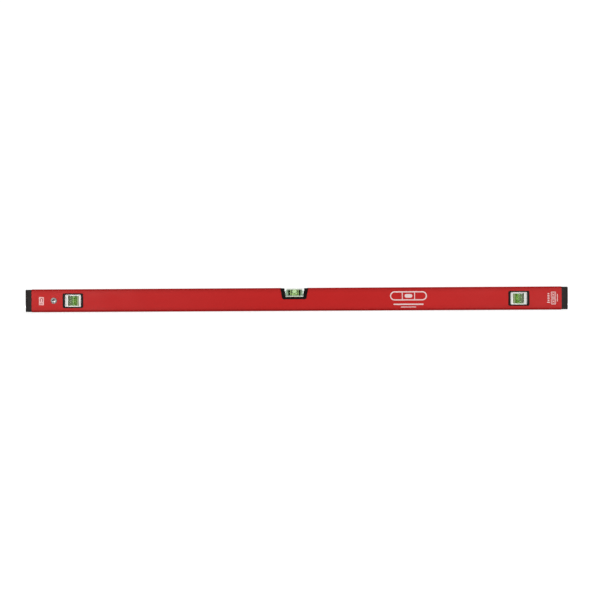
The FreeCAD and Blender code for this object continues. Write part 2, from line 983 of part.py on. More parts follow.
def make_plumb_vial(name, side):
    """The clear block, rings, plugs, liquid, bubble and resin bed of one plumb vial."""
    block = new_body(f"{name}_vial_block")
    depth = size("plumb_block_depth")
    plan = new_sketch(block, "XY_Plane")
    lens_outline(
        plan,
        size("plumb_block_length"),
        size("plumb_block_edge_thickness"),
        size("plumb_block_middle_thickness"),
    )
    pad(block, plan, depth, symmetric=True)
    bore = new_sketch(block, "XY_Plane")
    circle(bore, size("plumb_bore_radius"))
    pocket(block, bore)
    plumb_spot(block, side)

    radius = size("plumb_bore_radius") - size("film_gap")
    names = ["plumb_ring"]
    rings = make_rings(f"{name}_vial_rings", names, "XY_Plane", "XY_Plane", radius, 0)
    plumb_spot(rings, side)

    plugs = new_body(f"{name}_vial_plugs")
    plug = new_sketch(plugs, "XY_Plane", size("plumb_bore_half_length"))
    circle(plug, radius)
    first = pad(plugs, plug, size("plumb_plug_length"))
    mirror(plugs, [first], "XY_Plane")
    plumb_spot(plugs, side)

    liquid = new_body(f"{name}_vial_liquid")
    column = new_sketch(liquid, "XY_Plane")
    circle(column, radius)
    pad(liquid, column, size("plumb_bore_half_length") * 2, symmetric=True)
    cuts = [
        pocket(
            liquid,
            ring_sketch(liquid, "XY_Plane", start, radius, 0),
            width,
            reverse=True,
        )
        for start, width in ring_places(names)
    ]
    mirror(liquid, cuts, "XY_Plane")
    channel = new_sketch(liquid, "XZ_Plane")
    stand_up(channel)
    capsule(
        channel,
        channel_length(size("plumb_bubble_length"), size("plumb_bubble_travel")),
        size("plumb_bubble_radius") + size("bubble_clearance"),
    )
    turn(liquid, channel, "Groove")
    plumb_spot(liquid, side)

    bubble = make_bubble(
        f"{name}_vial_bubble",
        size("plumb_bubble_length"),
        size("plumb_bubble_radius"),
        upright=True,
    )
    plumb_spot(bubble, side)

    bed = new_body(f"{name}_vial_resin_bed")
    thickness = size("plumb_bed_thickness")
    pour = new_sketch(bed, "XY_Plane", (depth / 2 + thickness) * -1)
    box_outline(
        pour,
        size("plumb_bed_length"),
        size("plumb_bed_width"),
        size("carrier_slot_round"),
    )
    pad(bed, pour, thickness)
    plumb_spot(bed, side)


# Hanging eyelet


def place_eyelet(body):
    place(body, x=-size("eyelet_from_middle"), z=size("eyelet_height"))


def make_eyelet():
    """A steel barrel through the profile, flanged in front and rolled over its washer at the rear."""
    body = new_body("hanging_eyelet")
    face = size("profile_width") / 2
    hole = size("eyelet_hole_radius")
    barrel = hole + size("eyelet_barrel_wall")
    flange = size("eyelet_flange_radius")
    front = -(face + size("eyelet_flange_thickness"))
    rear = face + size("eyelet_flange_thickness")
    lip_start = rear - size("eyelet_lip_thickness")
    rounding = size("eyelet_edge_round")
    section = new_sketch(body, "XY_Plane")
    outline(
        section,
        [
            (hole, front, rounding),
            (flange, front, rounding * 2),
            (flange, -face, 0),
            (barrel, -face, 0),
            (barrel, lip_start, 0),
            (size("eyelet_lip_radius"), lip_start, 0),
            (size("eyelet_lip_radius"), rear, rounding),
            (hole, rear, rounding),
        ],
    )
    turn(body, section, axis="V_Axis")
    place_eyelet(body)

    washer = new_body("eyelet_washer")
    clearance = size("eyelet_clearance")
    inner = barrel + clearance
    seat = size("eyelet_lip_radius") + clearance
    outer_face = face + size("washer_thickness")
    ring = new_sketch(washer, "XY_Plane")
    outline(
        ring,
        [
            (inner, face, 0),
            (flange, face, 0),
            (flange, outer_face, rounding),
            (seat, outer_face, 0),
            (seat, face + size("washer_seat"), 0),
            (inner, face + size("washer_seat"), 0),
        ],
    )
    turn(washer, ring, axis="V_Axis")
    place_eyelet(washer)


# Base magnets


def make_magnets():
    """Block magnets in the base's slots, each in a holder that fits the lowest chamber."""
    magnets = new_body("base_magnets")
    face = new_sketch(magnets, "XY_Plane", size("magnet_recess"))
    for x in magnet_places():
        box_outline(
            face,
            size("magnet_length"),
            size("magnet_width"),
            size("magnet_round"),
            x,
        )
    pad(magnets, face, size("magnet_thickness"))

    holders = new_body("magnet_holders")
    width = size("profile_width") - size("side_wall") * 2 - size("plug_clearance") * 2
    height = size("holder_height")
    middle = size("rail_wall") + height / 2
    for x in magnet_places():
        shell = new_sketch(holders, "YZ_Plane", x - size("holder_length") / 2)
        box_outline(shell, width, height, size("chamber_round"), 0, middle)
        pad(holders, shell, size("holder_length"))
    socket = new_sketch(holders, "XY_Plane", size("rail_wall"))
    for x in magnet_places():
        box_outline(
            socket,
            size("magnet_length"),
            size("magnet_width"),
            size("magnet_round"),
            x,
        )
    top = size("magnet_recess") + size("magnet_thickness")
    pocket(holders, socket, top - size("rail_wall"), reverse=True)


def make_level():
    fill_sheet()
    make_profile()
    make_eyelet()
    make_magnets()
    make_cradle("centre_cradle_front", rear=False)
    make_cradle("centre_cradle_rear", rear=True)
    make_centre_vial()
    for name, side in (("left", -1), ("right", 1)):
        make_end_plug(f"{name}_end_plug", side)
        make_end_cap(f"{name}_end_cap", side)
        make_bezel(f"{name}_bezel_front", side, rear=False)
        make_bezel(f"{name}_bezel_rear", side, rear=True)
        make_carrier(f"{name}_vial_carrier", side)
        make_plumb_vial(name, side)


def export_parts():
    """Checks every object and each body's shape, then writes one STEP file for each body."""
    doc.recompute()
    for thing in doc.Objects:
        if "Invalid" in thing.State or "Error" in thing.State:
            raise RuntimeError(f"{thing.Label} failed to compute")
    bodies = [thing for thing in doc.Objects if thing.TypeId == "PartDesign::Body"]
    for body in bodies:
        if body.Shape.isNull() or not body.Shape.isValid():
            raise RuntimeError(f"{body.Label} has no valid shape")
    os.makedirs("parts", exist_ok=True)
    for body in bodies:
        body.Shape.exportStep(f"parts/{body.Label}.step")
        print(f"{body.Label}: {len(body.Shape.Solids)} solids, {body.Shape.Volume:.1f} mm3")


make_level()
export_parts()
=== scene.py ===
"""Looks, printed marks, liquid, light and camera for the spirit level, in metres.

X runs along the level, -Y is its front face and +Z is up, as in the frame.
"""

import bmesh
import bpy
import math
from mathutils import Matrix, Vector


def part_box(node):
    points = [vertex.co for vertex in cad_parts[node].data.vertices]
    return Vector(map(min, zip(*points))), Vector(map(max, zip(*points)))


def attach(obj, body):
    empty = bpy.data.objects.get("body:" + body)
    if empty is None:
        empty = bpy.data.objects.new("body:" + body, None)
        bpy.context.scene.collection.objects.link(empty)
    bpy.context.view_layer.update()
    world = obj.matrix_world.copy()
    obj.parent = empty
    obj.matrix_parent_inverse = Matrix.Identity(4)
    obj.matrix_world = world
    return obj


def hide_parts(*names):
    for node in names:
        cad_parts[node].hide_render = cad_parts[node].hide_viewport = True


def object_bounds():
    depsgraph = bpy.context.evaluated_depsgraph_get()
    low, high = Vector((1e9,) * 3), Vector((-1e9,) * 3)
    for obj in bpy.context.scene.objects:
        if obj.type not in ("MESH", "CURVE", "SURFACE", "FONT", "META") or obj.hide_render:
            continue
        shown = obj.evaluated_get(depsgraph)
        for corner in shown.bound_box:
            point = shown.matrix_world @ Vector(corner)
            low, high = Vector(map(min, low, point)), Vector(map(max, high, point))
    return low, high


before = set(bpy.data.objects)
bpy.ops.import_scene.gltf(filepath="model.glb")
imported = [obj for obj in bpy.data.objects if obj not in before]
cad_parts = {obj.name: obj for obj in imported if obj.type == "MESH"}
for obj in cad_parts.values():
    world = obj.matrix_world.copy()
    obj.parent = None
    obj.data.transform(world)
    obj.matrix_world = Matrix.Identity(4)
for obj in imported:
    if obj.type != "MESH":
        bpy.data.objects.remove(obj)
cad_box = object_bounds()

MM = 0.001
ROOT = "level"

MIDDLE_HEIGHT = 25.5 * MM  # half the profile's height
PRINT_THICKNESS = 0.05 * MM
LABEL_THICKNESS = 0.12 * MM
EYELET_BARREL = 3.75 * MM  # radius that holds only the eyelet's bore wall
FLOOR_SLOT = (585 * MM, 7.7 * MM)  # half length and half width, within the level's base

CLEAR = (1.0, 1.0, 1.0)
BLACK = (0.0, 0.0, 0.0)


# Materials


class Look:
    """A material on one Principled shader, whose textures lie in the frame's own coordinates."""

    def __init__(self, name, colour, roughness, metallic=0.0, specular=0.5, **sockets):
        self.material = bpy.data.materials.new(name)
        self.material.use_nodes = True
        self.tree = self.material.node_tree
        self.shader = self.tree.nodes["Principled BSDF"]
        self.colour = colour
        self.base = None
        self.height = None
        self.set("Base Color", (*colour, 1.0))
        self.set("Roughness", roughness)
        self.set("Metallic", metallic)
        self.set("Specular IOR Level", specular)
        for socket, value in sockets.items():
            self.set(socket.replace("_", " "), value)
        self.where = self.node("ShaderNodeTexCoord").outputs["Object"]

    def set(self, socket, value):
        self.shader.inputs[socket].default_value = value

    def node(self, kind, **settings):
        node = self.tree.nodes.new(kind)
        for name, value in settings.items():
            setattr(node, name, value)
        return node

    def feed(self, socket, value):
        """Gives an input socket a plain value or another node's output."""
        if isinstance(value, bpy.types.NodeSocket):
            self.tree.links.new(value, socket)
        else:
            socket.default_value = value

    def math(self, operation, first, second=0.0):
        node = self.node("ShaderNodeMath", operation=operation)
        self.feed(node.inputs[0], first)
        self.feed(node.inputs[1], second)
        return node.outputs[0]

    def placed(self, stretch=(1, 1, 1), origin=(0, 0, 0)):
        """The frame's coordinates from an origin, with each axis multiplied by its stretch."""
        node = self.node("ShaderNodeMapping", vector_type="POINT")
        self.feed(node.inputs["Vector"], self.where)
        node.inputs["Scale"].default_value = stretch
        node.inputs["Location"].default_value = [-o * s for o, s in zip(origin, stretch)]
        return node.outputs[0]

    def noise(self, per_metre, detail=2.0, stretch=(1, 1, 1)):
        node = self.node("ShaderNodeTexNoise")
        self.feed(node.inputs["Vector"], self.placed(stretch))
        node.inputs["Scale"].default_value = per_metre
        node.inputs["Detail"].default_value = detail
        return node.outputs["Fac"]

    def waves(self, per_metre, kind="BANDS", axis="X", origin=(0, 0, 0), distortion=0.0):
        node = self.node("ShaderNodeTexWave", wave_type=kind)
        if kind == "BANDS":
            node.bands_direction = axis
        else:
            node.rings_direction = axis
        self.feed(node.inputs["Vector"], self.placed(origin=origin))
        node.inputs["Scale"].default_value = per_metre
        node.inputs["Distortion"].default_value = distortion
        return node.outputs["Fac"]

    def ramp(self, value, low, high, start=0.0, end=1.0):
        """Spreads value from start..end over low..high, and holds it there."""
        node = self.node("ShaderNodeMapRange")
        self.feed(node.inputs["Value"], value)
        node.inputs["From Min"].default_value = start
        node.inputs["From Max"].default_value = end
        node.inputs["To Min"].default_value = low
        node.inputs["To Max"].default_value = high
        return node.outputs[0]

    def mix(self, factor, first, second, blend="MIX"):
        node = self.node("ShaderNodeMix", data_type="RGBA", blend_type=blend)
        self.feed(node.inputs["Factor"], factor)
        for socket, value in ((node.inputs[6], first), (node.inputs[7], second)):
            self.feed(socket, (*value, 1.0) if isinstance(value, tuple) else value)
        return node.outputs[2]

    def mottle(self, per_metre, amount, detail=2.0, stretch=(1, 1, 1)):
        """Lightens and darkens the colour by a share of itself, over patches of a given size."""
        patches = self.ramp(self.noise(per_metre, detail, stretch), 0.0, 1.0, 0.3, 0.7)
        before = self.base or self.colour
        dark = self.mix(amount, before, BLACK)
        light = self.mix(amount, before, tuple(min(1.0, c * 1.6 + 0.02) for c in self.colour))
        return self.paint(self.mix(patches, dark, light))

    def paint(self, colour):
        self.base = colour
        self.feed(self.shader.inputs["Base Color"], colour)
        return self

    def polish(self, low, high, per_metre, detail=3.0, stretch=(1, 1, 1)):
        """Lets the roughness wander between low and high."""
        worn = self.noise(per_metre, detail, stretch)
        self.feed(self.shader.inputs["Roughness"], self.ramp(worn, low, high, 0.3, 0.7))
        return self

    def relief(self, height, depth, strength=1.0):
        """Adds a bump of a given depth in metres, on top of those before it."""
        node = self.node("ShaderNodeBump")
        self.feed(node.inputs["Height"], height)
        node.inputs["Distance"].default_value = depth
        node.inputs["Strength"].default_value = strength
        if self.height:
            self.feed(node.inputs["Normal"], self.height)
        self.height = node.outputs[0]
        self.feed(self.shader.inputs["Normal"], self.height)
        return self

    def grain(self, per_metre, depth, strength=1.0, detail=2.0, stretch=(1, 1, 1)):
        return self.relief(self.noise(per_metre, detail, stretch), depth, strength)

    def let_lamps_through(self, tint):
        """Glass that passes the lamps' light, tinted, rather than throwing a black shadow."""
        return self.clear_where(self.node("ShaderNodeLightPath").outputs["Is Shadow Ray"], tint)

    def clear_where(self, factor, tint=CLEAR):
        """Lets light straight through, tinted, where factor is 1."""
        clear = self.node("ShaderNodeBsdfTransparent")
        clear.inputs["Color"].default_value = (*tint, 1.0)
        join = self.node("ShaderNodeMixShader")
        self.feed(join.inputs["Fac"], factor)
        self.feed(join.inputs[1], self.shader.outputs[0])
        self.feed(join.inputs[2], clear.outputs[0])
        output = self.tree.nodes["Material Output"]
        self.feed(output.inputs["Surface"], join.outputs[0])
        return self


def powder_coat():
    """Red powder coat with orange peel and a bare milled base. Painted shade darkens its front and
    back faces towards their long edges.
    """
    look = Look("red_powder_coat", (0.540, 0.013, 0.012), 0.42, specular=0.14)
    look.mottle(14.0, 0.05, detail=3.0, stretch=(0.35, 1, 1))
    look.mottle(900.0, 0.05)
    split = look.node("ShaderNodeSeparateXYZ")
    look.feed(split.inputs[0], look.where)
    # Painted shade: the front and back faces are painted darker towards their long top and bottom
    # edges, standing in for the shade those edges get.
    from_middle = look.math("ABSOLUTE", look.math("SUBTRACT", split.outputs["Z"], MIDDLE_HEIGHT))
    painted_edge_shade = look.ramp(from_middle, 0.0, 1.0, 12.5 * MM, MIDDLE_HEIGHT)
    painted_edge_shade = look.math("MULTIPLY", look.math("POWER", painted_edge_shade, 2.0), 0.38)
    shade_on_sides_mask = look.ramp(look.math("ABSOLUTE", split.outputs["Y"]), 0.0, 1.0, 7.0 * MM, 8.4 * MM)
    # The paint's colour with the painted edge shade mixed in towards black.
    coat = look.mix(look.math("MULTIPLY", painted_edge_shade, shade_on_sides_mask), look.base, BLACK)
    base_metal = look.mix(
        look.ramp(look.noise(60.0, 4.0, (0.5, 3, 1)), 0.0, 1.0, 0.3, 0.7),
        (0.50, 0.50, 0.49),
        (0.68, 0.68, 0.66),
    )
    milled = look.math("LESS_THAN", split.outputs["Z"], 0.05 * MM)
    look.paint(look.mix(milled, coat, base_metal))
    look.feed(look.shader.inputs["Metallic"], milled)
    look.polish(0.36, 0.50, 45.0, stretch=(0.4, 1, 1))
    look.grain(1500.0, 0.03 * MM, 0.55)
    look.relief(look.waves(1100.0, distortion=1.5), 0.004 * MM, 0.25)
    return look


def rubber():
    look = Look("cap_rubber", (0.0168, 0.0115, 0.0110), 0.62, specular=0.2)
    look.mottle(120.0, 0.25, detail=4.0)
    look.polish(0.52, 0.72, 200.0)
    look.grain(2600.0, 0.05 * MM, 0.8)
    return look.grain(300.0, 0.06 * MM, 0.4)


def black_plastic():
    look = Look("black_plastic", (0.0060, 0.0034, 0.0034), 0.34, specular=0.08)
    look.mottle(150.0, 0.2, detail=3.0)
    look.polish(0.30, 0.40, 260.0)
    return look.grain(3200.0, 0.03 * MM, 0.6)


def white_plastic():
    look = Look("white_plastic", (0.87, 0.87, 0.845), 0.42, specular=0.4)
    look.mottle(90.0, 0.03, detail=3.0)
    look.polish(0.36, 0.5, 240.0)
    return look.grain(2600.0, 0.02 * MM, 0.5)


def acrylic(name, tint, shadow_tint, glare):
    """Clear cast acrylic with faint handling haze. glare tints its reflections."""
    look = Look(name, tint, 0.02, Transmission_Weight=1.0, IOR=1.49, Specular_Tint=(*glare, 1.0))
    haze = look.ramp(look.noise(160.0, 5.0), 0.0, 0.05, 0.55, 0.8)
    look.mottle(240.0, 0.02)
    look.feed(look.shader.inputs["Roughness"], haze)
    look.grain(420.0, 0.004 * MM, 0.3)
    return look.let_lamps_through(shadow_tint)


def tint_beyond(look, offset, start, end, tint):
    """Changes the tint where the distance from the level's middle, less offset, is start to end."""
    split = look.node("ShaderNodeSeparateXYZ")
    look.feed(split.inputs[0], look.where)
    beyond = look.math("SUBTRACT", look.math("ABSOLUTE", split.outputs["X"]), offset)
    rising = look.ramp(beyond, 0.0, 1.0, start, end)
    return look.paint(look.mix(rising, look.base, tint))


def liquid(name, tint, shadow_tint):
    """A tinted liquid. Its reflections are weak because it meets acrylic, not air."""
    weak = (0.3, 0.3, 0.3, 1.0)
    look = Look(name, tint, 0.0, Transmission_Weight=1.0, IOR=1.45, Specular_Tint=weak)
    look.mottle(80.0, 0.03)
    return look.let_lamps_through(shadow_tint)


def bubble_air(name, tint, index):
    """Air in the liquid. Its tint is above white, to take back that of the liquid it displaces.

    Its index is closer to 1 than air in liquid has, which softens its rim.
    """
    look = Look(name, CLEAR, 0.0)
    patches = look.ramp(look.noise(250.0, 2.0), 0.0, 1.0, 0.3, 0.7)
    tint = look.mix(patches, tuple(0.98 * t for t in tint), tuple(1.02 * t for t in tint))
    glass = look.node("ShaderNodeBsdfGlass")
    look.feed(glass.inputs["Color"], tint)
    glass.inputs["Roughness"].default_value = 0.0
    glass.inputs["IOR"].default_value = index
    look.tree.nodes.remove(look.shader)
    look.shader = glass
    return look.let_lamps_through(CLEAR)


def resin():
    look = Look("clear_resin", (0.58, 0.68, 0.50), 0.3, specular=0.4)
    look.mottle(300.0, 0.04)
    return look.grain(900.0, 0.02 * MM, 0.5)


def ring_paint():
    look = Look("ring_black", (0.003, 0.007, 0.002), 0.5, specular=0.03)
    look.mottle(900.0, 0.08)
    return look.grain(3000.0, 0.01 * MM, 0.4)


def eyelet_steel(centre):
    """Dulled turned steel, with fine marks round the hole. Its bore wall is painted lighter, as
    painted light in the hole.
    """
    look = Look("eyelet_steel", (0.20, 0.188, 0.180), 0.42, metallic=0.6)
    look.mottle(500.0, 0.08)
    # Painted light: within EYELET_BARREL of the hole's axis the steel is painted lighter, standing
    # in for the light seen in the hole.
    off_axis = look.node("ShaderNodeVectorMath", operation="LENGTH")
    look.feed(off_axis.inputs[0], look.placed(stretch=(1, 0, 1), origin=centre))
    painted_light_in_barrel = look.math("LESS_THAN", off_axis.outputs["Value"], EYELET_BARREL)
    look.paint(look.mix(painted_light_in_barrel, look.base, (0.42, 0.41, 0.40)))
    look.polish(0.36, 0.5, 700.0)
    turned = look.waves(2600.0, "RINGS", "Y", centre, distortion=0.8)
    return look.relief(turned, 0.01 * MM, 0.35)


def nickel():
    look = Look("magnet_nickel", (0.52, 0.50, 0.46), 0.26, metallic=1.0)
    look.mottle(400.0, 0.12, detail=4.0)
    look.polish(0.2, 0.42, 500.0, detail=5.0)
    return look.grain(1200.0, 0.01 * MM, 0.4)


def ink(name, colour):
    """Screen-printed ink, with its slight unevenness."""
    look = Look(name, colour, 0.5, specular=0.3)
    look.mottle(700.0, 0.06, detail=3.0)
    look.polish(0.42, 0.6, 800.0)
    return look.grain(2200.0, 0.01 * MM, 0.6)


def dress(piece, look):
    """Gives a piece one material in place of any that it has."""
    slots = piece.data.materials
    slots.clear()
    slots.append(look.material)


# Pieces


def piece_from(name, bm, look, body=ROOT, smooth=None):
    """Makes a piece of a bmesh, rides it on a body and shades it smooth below an angle."""
    bmesh.ops.recalc_face_normals(bm, faces=bm.faces[:])
    mesh = bpy.data.meshes.new(name)
    bm.to_mesh(mesh)
    bm.free()
    piece = bpy.data.objects.new(name, mesh)
    bpy.context.scene.collection.objects.link(piece)
    if smooth is not None:
        mesh.shade_smooth()
        mesh.set_sharp_from_angle(angle=math.radians(smooth))
    dress(piece, look)
    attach(piece, body)
    return piece


def slab(name, outlines, y_back, thickness, look):
    """A thin closed plate on the front face. outlines holds loops of (x, z), holes among them."""
    bm = bmesh.new()
    for loop in outlines:
        corners = [bm.verts.new((x, y_back, z)) for x, z in loop]
        for first, second in zip(corners, corners[1:] + corners[:1]):
            bm.edges.new((first, second))
    bmesh.ops.triangle_fill(bm, edges=bm.edges[:], use_beauty=True)
    grown = bmesh.ops.extrude_face_region(bm, geom=bm.faces[:])["geom"]
    front = [item for item in grown if isinstance(item, bmesh.types.BMVert)]
    bmesh.ops.translate(bm, verts=front, vec=(0, -thickness, 0))
    return piece_from(name, bm, look, smooth=30)


def round_box(cx, cz, width, height, radius, steps=6):
    """A rectangle's outline with rounded corners."""
    radius = min(radius, 0.499 * width, 0.499 * height)
    loop = []
    for sx, sz, start in ((1, 1, 0), (-1, 1, 90), (-1, -1, 180), (1, -1, 270)):
        for i in range(steps + 1):
            angle = math.radians(start + 90 * i / steps)
            loop.append(
                (
                    cx + sx * (width / 2 - radius) + radius * math.cos(angle),
                    cz + sz * (height / 2 - radius) + radius * math.sin(angle),
                )
            )
    return loop


def ring_loop(cx, cz, radius, count=40):
    turns = [2 * math.pi * i / count for i in range(count)]
    return [(cx + radius * math.cos(t), cz + radius * math.sin(t)) for t in turns]


def frame_loops(cx, cz, width, height, radius, stroke):
    """The two loops of an outlined rounded rectangle."""
    inner = max(radius - stroke, 0.2 * MM)
    return [
        round_box(cx, cz, width, height, radius),
        round_box(cx, cz, width - 2 * stroke, height - 2 * stroke, inner),
    ]


def lathe(outline, centre, axis, count=64):
    """A closed solid of revolution. outline runs from pole to pole, as (along, radius)."""
    bm = bmesh.new()
    turn_by = {"X": Matrix.Rotation(math.radians(90), 4, "Y"), "Z": Matrix.Identity(4)}[axis]
    rows = []
    for along, radius in outline:
        if radius < 1e-7:
            rows.append([bm.verts.new((0, 0, along))])
            continue
        spots = []
        for i in range(count):
            t = 2 * math.pi * i / count
            spots.append(bm.verts.new((radius * math.cos(t), radius * math.sin(t), along)))
        rows.append(spots)
    for low, high in zip(rows, rows[1:]):
        for i in range(count):
            j = (i + 1) % count
            if len(low) == 1:
                bm.faces.new((low[0], high[i], high[j]))
            elif len(high) == 1:
                bm.faces.new((low[i], low[j], high[0]))
            else:
                bm.faces.new((low[i], low[j], high[j], high[i]))
    bm.transform(Matrix.Translation(centre) @ turn_by)
    return bm


def column(half_length, radius, steps=12):
    """The outline of a straight liquid column with flat ends."""
    outline = [(-half_length, 0.0)]
    for i in range(steps + 1):
        outline.append((-half_length + 2 * half_length * i / steps, radius))
    return outline + [(half_length, 0.0)]


def bubble_outline(half_length, radius, steps=40, power=2.6):
    """The outline of a long bubble: a superellipse, blunter at its ends than an ellipse."""
    outline = []
    for i in range(steps + 1):
        t = math.pi * i / steps
        along = -math.copysign(abs(math.cos(t)) ** (2 / power), math.cos(t)) * half_length
        outline.append((along, abs(math.sin(t)) ** (2 / power) * radius if 0 < i < steps else 0.0))
    return outline


def middle(node):
    low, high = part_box(node)
    return (low + high) / 2


def build_liquids():
    green = liquid("green_liquid", (0.27, 0.40, 0.15), (0.62, 0.80, 0.45))
    tint_beyond(green, 0.0, 13.2 * MM, 14.4 * MM, (0.225, 0.315, 0.22))
    air = bubble_air("bubble_air", (1.47, 1.42, 1.70), 0.86)
    pale_green = liquid("plumb_liquid", (0.72, 0.90, 0.37), (0.85, 0.92, 0.70))
    pale_air = bubble_air("plumb_bubble_air", (1.10, 1.05, 1.30), 0.92)
    overlap = 0.06 * MM

    low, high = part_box("centre_vial_liquid")
    centre = (low + high) / 2
    radius = (high.z - low.z) / 2 + overlap
    outline = column((high.x - low.x) / 2 - 0.02 * MM, radius)
    piece = piece_from(
        "centre_liquid_column", lathe(outline, centre, "X"), green, smooth=40
    )
    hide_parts("centre_vial_liquid")

    low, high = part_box("centre_vial_bubble")
    spot = (low + high) / 2
    bm = lathe(bubble_outline((high.x - low.x) / 2, 1.0), Vector(), "X")
    half_width, half_height, rise = 5.4 * MM, 4.5 * MM, 2.2 * MM
    for vert in bm.verts:
        vert.co.y *= half_width
        vert.co.z *= half_height
    bm.transform(Matrix.Translation((spot.x, spot.y, centre.z + rise)))
    piece = piece_from(
        "centre_air_bubble", bm, air, "centre_bubble", smooth=60
    )
    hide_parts("centre_vial_bubble")

    for side in ("left", "right"):
        low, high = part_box(f"{side}_vial_liquid")
        centre = (low + high) / 2
        radius = (high.x - low.x) / 2 + overlap
        outline = column((high.z - low.z) / 2 - 0.02 * MM, radius)
        bm = lathe(outline, centre, "Z")
        piece = piece_from(
            f"{side}_liquid_column", bm, pale_green, smooth=40
        )
        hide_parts(f"{side}_vial_liquid")
        low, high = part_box(f"{side}_vial_bubble")
        spot = (low + high) / 2
        outline = bubble_outline((high.z - low.z) / 2, (high.x - low.x) / 2)
        bm = lathe(outline, spot, "Z")
        piece = piece_from(
            f"{side}_air_bubble", bm, pale_air, f"{side}_bubble", smooth=60
        )
        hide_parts(f"{side}_vial_bubble")


def build_label(face, height, white, sign_ink):
    """The label near the left end, with a horseshoe magnet over a bar for a magnetic base."""
    cx = -563.8 * MM
    height -= 0.7 * MM
    outline = round_box(cx, height, 11 * MM, 18.2 * MM, 1.2 * MM)
    slab("magnet_label", [outline], face, LABEL_THICKNESS, white)
    outer, inner = 3.3 * MM, 1.5 * MM
    crown = height + 3.6 * MM
    foot = height - 1.4 * MM
    shoe = []
    for i in range(19):
        angle = math.pi * i / 18
        shoe.append((cx + outer * math.cos(angle), crown + outer * math.sin(angle)))
    shoe += [(cx - outer, foot), (cx - inner, foot)]
    for i in range(19):
        angle = math.pi - math.pi * i / 18
        shoe.append((cx + inner * math.cos(angle), crown + inner * math.sin(angle)))
    shoe += [(cx + inner, foot), (cx + outer, foot)]
    slab("magnet_sign_shoe", [shoe], face - LABEL_THICKNESS, PRINT_THICKNESS, sign_ink)
    bars = [
        round_box(cx + x * MM, height - 3.3 * MM, 0.7 * MM, 1.8 * MM, 0.3 * MM)
        for x in (-2.5, 0, 2.5)
    ]
    bars.append(round_box(cx, height - 6.2 * MM, 7.6 * MM, 1.4 * MM, 0.5 * MM))
    slab("magnet_sign_lines", bars, face - LABEL_THICKNESS, PRINT_THICKNESS, sign_ink)


def build_marks(face, height, white):
    """A plain vial sign on the right half, and plain bars and boxes near the right end."""
    cx = 251.5 * MM
    top = height + 6.5 * MM
    slab(
        "vial_sign_frame",
        frame_loops(cx, top, 81 * MM, 20 * MM, 10 * MM, 2.4 * MM),
        face, PRINT_THICKNESS, white,
    )
    lines = [round_box(cx + x * MM, top, 1.8 * MM, 14.8 * MM, 0.6 * MM) for x in (-13.5, 13.5)]
    slab("vial_sign_lines", lines, face, PRINT_THICKNESS, white)
    slab(
        "vial_sign_bubble",
        [round_box(cx, top, 17 * MM, 8 * MM, 3.9 * MM)],
        face, PRINT_THICKNESS, white,
    )
    under = [round_box(cx, height - 12.0 * MM, 66 * MM, 2.8 * MM, 1.2 * MM)]
    under.append(round_box(cx, height - 18.0 * MM, 34 * MM, 1.6 * MM, 0.7 * MM))
    slab("vial_sign_base", under, face, PRINT_THICKNESS, white)

    first = 557.6 * MM
    rungs = [
        round_box(first, height + z * MM, w * MM, 2.0 * MM, 0.5 * MM)
        for z, w in ((9.8, 3.2), (6.0, 4.4), (2.2, 4.4), (-1.6, 4.4), (-5.4, 3.6), (-9.4, 5.8))
    ]
    slab("end_sign_rungs", rungs, face, PRINT_THICKNESS, white)
    second = 568.3 * MM
    boxes = []
    for z in (7.2, -7.2):
        boxes += frame_loops(second, height + z * MM, 10.8 * MM, 13.2 * MM, 1.6 * MM, 1.0 * MM)
        boxes += frame_loops(second, height + z * MM, 6.4 * MM, 8.8 * MM, 1.0 * MM, 0.7 * MM)
    slab("end_sign_boxes", boxes, face, PRINT_THICKNESS, white)
    dots = [
        ring_loop(second, height + 7.2 * MM, 1.3 * MM),
        round_box(second, height - 7.2 * MM, 2.4 * MM, 2.4 * MM, 0.5 * MM),
    ]
    slab("end_sign_dots", dots, face, PRINT_THICKNESS, white)
    slab(
        "end_sign_bar",
        [round_box(577.0 * MM, height + 0.6 * MM, 1.2 * MM, 16.5 * MM, 0.5 * MM)],
        face, PRINT_THICKNESS, white,
    )


# Carried-over CAD nodes


